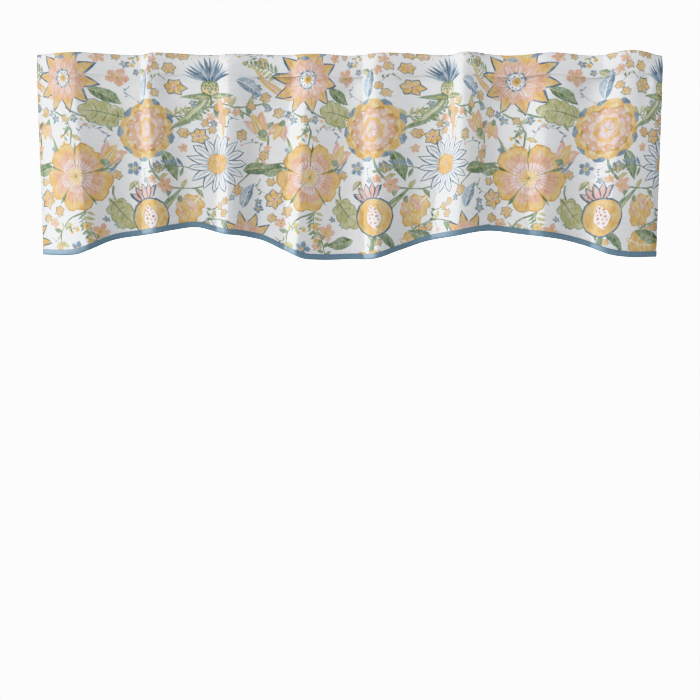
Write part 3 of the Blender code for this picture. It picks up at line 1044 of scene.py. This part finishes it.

# Painted shade: the cloth is painted darker and its inks deeper where it lies double and in the
# band below the seam.
ink_painted_shade, weave_light, painted_layer_shade = (
    add(
        tree, "ShaderNodeMapRange", {"Value": value, "To Min": low, "To Max": high}
    ).outputs["Result"]
    for value, low, high in ((layers, 0, 0.15), (weave, 0.95, 1.04), (layers, 1, 0.88))
)
ink_depth_and_painted_shade = pools
for more in (dabs, ink_painted_shade):
    both = {0: ink_depth_and_painted_shade, 1: more}
    ink_depth_and_painted_shade = add(tree, "ShaderNodeMath", both, operation="ADD").outputs[0]
laid_and_shaded_ink = add(tree, "ShaderNodeGamma", {"Color": ink, "Gamma": ink_depth_and_painted_shade}).outputs["Color"]
weave_and_painted_shade = add(
    tree, "ShaderNodeMath", {0: weave_light, 1: painted_layer_shade}, operation="MULTIPLY"
).outputs[0]
white_cloth = {0: linear(INKS["white"]), "Scale": weave_and_painted_shade}
cloth = add(tree, "ShaderNodeVectorMath", white_cloth, operation="SCALE").outputs["Vector"]
inked = add(tree, "ShaderNodeVectorMath", {0: laid_and_shaded_ink, 1: cloth}, operation="MULTIPLY")
relief = add(tree, "ShaderNodeBump", {"Height": weave, "Strength": 0.25, "Distance": 0.0004})
tree.links.new(inked.outputs["Vector"], shader.inputs["Base Color"])
tree.links.new(relief.outputs["Normal"], shader.inputs["Normal"])


# ---- Sewing ----
# Lockstitch in cotton thread, put on by a Geometry Nodes tree along a line of points. Each stitch
# is a bead drawn out along the line, and they differ a little in size.

STITCH_PITCH = 0.0028
STITCH = (0.0022, 0.0006, 0.0006)
UNEVENNESS = 0.25
THREAD_LIFT = 0.0001  # how far a thread's middle lies above the cloth


def sewing_tree():
    """The tree that lays stitches along a line."""
    tree = bpy.data.node_groups.new("sewing", "GeometryNodeTree")
    inputs = {
        "Line": "NodeSocketGeometry", "Pitch": "NodeSocketFloat", "Stitch": "NodeSocketVector",
        "Unevenness": "NodeSocketFloat", "Seed": "NodeSocketInt", "Thread": "NodeSocketMaterial",
    }
    for name, kind in inputs.items():
        tree.interface.new_socket(name, in_out="INPUT", socket_type=kind)
    tree.interface.new_socket("Stitches", in_out="OUTPUT", socket_type="NodeSocketGeometry")
    given = add(tree, "NodeGroupInput").outputs
    line = add(tree, "GeometryNodeMeshToCurve", {"Mesh": given["Line"]})
    places = add(
        tree, "GeometryNodeResampleCurve",
        {"Curve": line.outputs["Curve"], "Length": given["Pitch"]}, mode="LENGTH",
    )
    bead = add(tree, "GeometryNodeMeshIcoSphere", {"Radius": 0.5, "Subdivisions": 1})
    along = add(tree, "GeometryNodeInputTangent")
    lie = add(
        tree, "FunctionNodeAlignRotationToVector", {"Vector": along.outputs["Tangent"]}, axis="X"
    )
    least = add(tree, "ShaderNodeMath", {0: 1.0, 1: given["Unevenness"]}, operation="SUBTRACT")
    share = add(
        tree, "FunctionNodeRandomValue",
        {"Min": least.outputs[0], "Max": 1.0, "Seed": given["Seed"]}, data_type="FLOAT",
    )
    uneven = [socket for socket in share.outputs if socket.enabled][0]
    size = add(
        tree, "ShaderNodeVectorMath", {0: given["Stitch"], "Scale": uneven}, operation="SCALE"
    )
    laid = add(
        tree, "GeometryNodeInstanceOnPoints",
        {
            "Points": places.outputs["Curve"], "Instance": bead.outputs["Mesh"],
            "Rotation": lie.outputs["Rotation"], "Scale": size.outputs["Vector"],
        },
    )
    real = add(tree, "GeometryNodeRealizeInstances", {"Geometry": laid.outputs["Instances"]})
    smooth = add(tree, "GeometryNodeSetShadeSmooth", {"Geometry": real.outputs["Geometry"]})
    done = add(
        tree, "GeometryNodeSetMaterial",
        {"Geometry": smooth.outputs["Geometry"], "Material": given["Thread"]},
    )
    add(tree, "NodeGroupOutput", {"Stitches": done.outputs["Geometry"]})
    return tree


sewing = sewing_tree()


def sew(name, lines, thread, stitch, seed):
    """One piece of stitches, along each of the lines of points."""
    path = bpy.data.meshes.new(name)
    edges, first = [], 0
    for line in lines:
        edges += [(first + i, first + i + 1) for i in range(len(line) - 1)]
        first += len(line)
    path.from_pydata(np.concatenate(lines).tolist(), edges, [])
    piece = in_scene(name, path)
    modifier = piece.modifiers.new("sewing", "NODES")
    modifier.node_group = sewing
    values = {
        "Pitch": STITCH_PITCH, "Stitch": stitch, "Unevenness": UNEVENNESS, "Seed": seed,
        "Thread": thread,
    }
    for item in sewing.interface.items_tree:
        if item.name in values:
            modifier[item.identifier] = values[item.name]
    depsgraph = bpy.context.evaluated_depsgraph_get()
    sewn = bpy.data.meshes.new_from_object(piece.evaluated_get(depsgraph), depsgraph=depsgraph)
    piece.modifiers.remove(modifier)
    piece.data = sewn
    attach(piece, "root")
    return piece


def on_cloth(place, s, t, above):
    """Points a given height above the printed side."""
    return place(s, t) + above * facing(place, s, t)


# Matt cotton thread, a little greyer than the white of the cloth.
THREAD_ROUGHNESS = 0.75
finish = {"Base Color": (*linear("#DFDEDC"), 1), "Roughness": THREAD_ROUGHNESS}
white_thread = new_material("white_thread", finish)[0]

STITCHED_IN = 0.0015  # from a hem's inner edge
ABOVE_BINDING = 0.012  # where the side hems' stitches stop, above the raw edge
down = np.linspace(0.002, 1, 160)
side_lines = []
for s in (SIDE_HEM - STITCHED_IN, FLAT_WIDTH - SIDE_HEM + STITCHED_IN):
    t = down * (raw_edge(np.array([s]))[0] - ABOVE_BINDING)
    side_lines.append(on_cloth(hung_cloth, np.full_like(t, s), t, THREAD_LIFT))
side_stitches = sew("side_hem_stitches", side_lines, white_thread, STITCH, 1)

panel.data.materials.append(printed_cotton)
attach(panel, "root")
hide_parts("panel")
hem_places = np.linspace(0, FLAT_WIDTH, 2001)
float(raw_edge(hem_places).max())
float(np.trapz(raw_edge(hem_places), hem_places))


# ---- The heading ----
# The rod pocket: the panel's own top, turned over to the back and sewn through both layers. It is
# open at both ends. Its front hangs in the folds, and its back is nearly straight.

ROD_ROOM = 0.011  # the pocket's half width where the rod lies
SEAM_LEAVES = 0.0034  # the pocket's two walls where they are sewn together

# The pocket's section, from the seam up the back, over the rod and down the front to the seam.
# forward and height are those of a flat stretch, and carried is how much of a fold's depth it
# takes.
Turn = namedtuple("Turn", "forward carried height")
POCKET = [
    Turn(SEAM_STAND - SEAM_LEAVES, 1.00, -POCKET_DEPTH),
    Turn(-0.85 * ROD_ROOM, 0.15, -0.0360),
    Turn(-ROD_ROOM, 0.00, -0.0140),
    Turn(-0.70 * ROD_ROOM, 0.00, -0.0035),
    Turn(0, 0.10, 0),
    Turn(0.70 * ROD_ROOM, 0.40, -0.0035),
    Turn(ROD_ROOM, 0.80, -0.0140),
    Turn(1.10 * ROD_ROOM, 0.95, -0.0320),
    Turn(SEAM_STAND, 1.00, -POCKET_DEPTH),
]
forward, carried, height = np.array(POCKET).T
section = np.cumsum(np.concatenate([[0], np.hypot(np.diff(forward), np.diff(height))]))
HIGHEST = 4  # the turn at the top edge
BACK_OF_POCKET = float(section[HIGHEST])  # of cloth, from the top edge down the back to the seam


def round_rod(s, t):
    """Where a point of the flat cloth lies on the pocket, t down the front from the top edge."""
    across = across_at(s)
    place = np.clip(BACK_OF_POCKET + t, 0, section[-1])
    depth = POCKET_SHARE * fold_depth(across)
    ahead = smooth_through(place, section, forward)
    ahead = ahead + smooth_through(place, section, carried) * depth
    x = (across / HEM_WIDTH - 0.5) * TOP_WIDTH + lean(across)
    z = top_rise(across) + smooth_through(place, section, height)
    return np.stack([x, -ahead, z], axis=-1)


front_length = float(section[-1]) - BACK_OF_POCKET
pocket_levels = [level(t) for t in (-BACK_OF_POCKET, 0, front_length)]
heading = printed_sheet("heading_cloth", round_rod, pocket_levels, 0)

SEWN_ABOVE_SEAM = 0.0022
seam = np.linspace(0.002, FLAT_WIDTH - 0.002, 900)
seam_lines = [
    on_cloth(round_rod, seam, np.full_like(seam, t), THREAD_LIFT)
    for t in (front_length - SEWN_ABOVE_SEAM, SEWN_ABOVE_SEAM - BACK_OF_POCKET)
]
seam_stitches = sew("pocket_stitches", seam_lines, white_thread, STITCH, 2)

heading.data.materials.append(printed_cotton)
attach(heading, "root")
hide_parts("heading")


# ---- The binding ----
# A bias strip of plain slate-blue cotton, folded in half round the raw scalloped edge and stitched
# through from the front, close to its upper edge.

BINDING_WIDTH = 0.013
BINDING_CLOTH = 0.0008
BINDING_STEP = 0.004
OFF_CLOTH = 0.0003
FOLDED_OVER = 0.0035  # the inside of the fold, above the lower edge

along = np.linspace(0, FLAT_WIDTH, round(FLAT_WIDTH / BINDING_STEP) + 1)
lower = raw_edge(along) + EDGE_ABOVE_FOLD
front_leaf = OFF_CLOTH + BINDING_CLOTH
inner_back = -2 * CLOTH - OFF_CLOTH
back_leaf = inner_back - BINDING_CLOTH
middle = (front_leaf + back_leaf) / 2
# Each row is how far it stands ahead of the cloth's printed side, and how far above the lower
# edge.
binding_section = [
    (OFF_CLOTH, BINDING_WIDTH), (front_leaf - 0.0003, BINDING_WIDTH + 0.0001),
    (front_leaf, BINDING_WIDTH - 0.0005), (front_leaf, 0.0085), (front_leaf, 0.005),
    (front_leaf - 0.0001, 0.0020), (middle + 0.0010, 0.0004), (middle, 0),
    (middle - 0.0010, 0.0004), (back_leaf, 0.0020), (back_leaf, 0.007), (back_leaf, BINDING_WIDTH),
    (inner_back, BINDING_WIDTH), (inner_back, FOLDED_OVER), (OFF_CLOTH, FOLDED_OVER),
]
rows = [on_cloth(hung_cloth, along, lower - above, ahead) for ahead, above in binding_section]
grid = np.stack(rows, axis=1)
n_along, n_round = grid.shape[:2]
faces = [
    (i * n_round + j, i * n_round + (j + 1) % n_round,
     (i + 1) * n_round + (j + 1) % n_round, (i + 1) * n_round + j)
    for i in range(n_along - 1)
    for j in range(n_round)
]
faces.append(tuple(range(n_round))[::-1])
faces.append(tuple((n_along - 1) * n_round + j for j in range(n_round)))
mesh = bpy.data.meshes.new("hem_binding")
mesh.from_pydata(grid.reshape(-1, 3).tolist(), [], faces)
ROW_APART = 0.003  # on the flat strip, about
round_strip = np.tile(np.arange(n_round) * ROW_APART, n_along)
lay_flat(mesh, np.stack([np.repeat(along, n_round), round_strip], axis=1))
mesh.shade_smooth()
binding = in_scene("hem_binding", mesh)

# Dyed plain cotton: the same weave, on the slant, in one uneven blue. The strip is pressed flat and
# smooth, which gives it a slight lustre that the printed cloth doesn't have.
finish = {"Roughness": 0.5, "Specular IOR Level": 0.9}
blue_cotton, tree, shader = new_material("blue_cotton", finish)
flat_uv = add(tree, "ShaderNodeUVMap", uv_map="flat_cloth").outputs["UV"]
slant = {
    "Vector": flat_uv, "Scale": (THREADS_PER_METRE, 60, 1), "Rotation": (0, 0, math.pi / 4)
}
threads = add(tree, "ShaderNodeMapping", slant).outputs["Vector"]
slub = add(tree, "ShaderNodeTexNoise", {"Vector": threads, "Scale": 1.0, "Detail": 2.0})
blues = add(tree, "ShaderNodeValToRGB", {"Fac": slub.outputs["Fac"]})
tones = (0.3, "#6F8DA0"), (0.7, "#7A98AA")
for element, (position, colour) in zip(blues.color_ramp.elements, tones):
    element.position = position
    element.color = (*linear(colour), 1)
raised = {"Height": slub.outputs["Fac"], "Strength": 0.3, "Distance": 0.0004}
relief = add(tree, "ShaderNodeBump", raised)
tree.links.new(blues.outputs["Color"], shader.inputs["Base Color"])
tree.links.new(relief.outputs["Normal"], shader.inputs["Normal"])
mesh.materials.append(blue_cotton)

# The same thread, dyed to match, and a little finer.
BLUE_STITCH = (0.0022, 0.0005, 0.0005)
SEWN_BELOW_TOP = 0.0016  # below the binding's upper edge
finish = {"Base Color": (*linear("#71899C"), 1), "Roughness": THREAD_ROUGHNESS}
blue_thread = new_material("blue_thread", finish)[0]
edge_line = np.linspace(0.002, FLAT_WIDTH - 0.002, 900)
edge_t = raw_edge(edge_line) + EDGE_ABOVE_FOLD - BINDING_WIDTH + SEWN_BELOW_TOP
edge_lines = [
    on_cloth(hung_cloth, edge_line, edge_t, ahead)
    for ahead in (front_leaf + THREAD_LIFT, back_leaf - THREAD_LIFT)
]
edge_stitches = sew("binding_stitches", edge_lines, blue_thread, BLUE_STITCH, 3)

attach(binding, "root")
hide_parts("binding")


# ---- The studio ----
# A pale floor well below, a white surround, and a broad window-like light low on the left, which
# grazes the cloth so that the left flanks of the folds catch most of it.

FLOOR_LEVEL = -2.1
floor_mesh = bpy.data.meshes.new("floor")
floor_mesh.from_pydata([(-3, -3, 0), (3, -3, 0), (3, 3, 0), (-3, 3, 0)], [], [(0, 1, 2, 3)])
floor = in_scene("floor", floor_mesh)
floor.location.z = FLOOR_LEVEL
finish = {"Base Color": (0.8, 0.8, 0.8, 1), "Roughness": 0.9}
floor_mesh.materials.append(new_material("pale_floor", finish)[0])
floor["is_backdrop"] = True

KEY_FROM_WALL = math.radians(20)
KEY_FROM_LEVEL = math.radians(12)
window = bpy.data.lights.new("window", "SUN")
window.energy = 2.95
window.angle = math.radians(40)
window_light = in_scene("window", window)
toward_cloth = Vector(
    (
        math.cos(KEY_FROM_WALL) * math.cos(KEY_FROM_LEVEL),
        math.sin(KEY_FROM_WALL) * math.cos(KEY_FROM_LEVEL),
        -math.sin(KEY_FROM_LEVEL),
    )
)
window_light.rotation_euler = toward_cloth.to_track_quat("-Z", "Y").to_euler()

# The white room's own light is stronger from the sides and below than from above. The camera sees
# plain white.
world = bpy.data.worlds.new("white_surround")
bpy.context.scene.world = world
world.use_nodes = True
tree = world.node_tree
toward = add(tree, "ShaderNodeTexCoord").outputs["Generated"]
up = add(tree, "ShaderNodeSeparateXYZ", {"Vector": toward}).outputs["Z"]
span = {"From Min": -0.3, "From Max": 1.0, "To Min": 0.725, "To Max": 0.30}
strength = add(tree, "ShaderNodeMapRange", {"Value": up, **span}).outputs["Result"]
lit = add(tree, "ShaderNodeBackground", {"Color": (0.96, 0.98, 1, 1), "Strength": strength})
seen = add(tree, "ShaderNodeBackground", {"Color": (1, 1, 1, 1), "Strength": 3.0})
which = add(tree, "ShaderNodeLightPath")
mixed = add(
    tree, "ShaderNodeMixShader",
    {0: which.outputs["Is Camera Ray"], 1: lit.outputs[0], 2: seen.outputs[0]},
)
tree.links.new(mixed.outputs[0], tree.nodes["World Output"].inputs["Surface"])

METRES_PER_PIXEL = 0.00222
PIXELS = 700
CAMERA_DISTANCE = 4.0
CAMERA_ASIDE = 0.0006
TOP_EDGE_PIXEL = 54
SENSOR = 36
camera_data = bpy.data.cameras.new("camera")
camera_data.sensor_width = SENSOR
camera_data.lens = SENSOR * CAMERA_DISTANCE / (PIXELS * METRES_PER_PIXEL)
camera = in_scene("camera", camera_data)
camera_height = (TOP_EDGE_PIXEL - PIXELS / 2) * METRES_PER_PIXEL
camera.location = (CAMERA_ASIDE, -CAMERA_DISTANCE, camera_height)
camera.rotation_euler = (math.pi / 2, 0, 0)
bpy.context.scene.camera = camera
# True colours in the mid tones, with a soft shoulder where the flanks of the folds are overlit.
bpy.context.scene.view_settings.view_transform = "Khronos PBR Neutral"

sizes = {"cad": cad_box, "visual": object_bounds()}
sizes = {name: [[float(x) for x in corner] for corner in box] for name, box in sizes.items()}
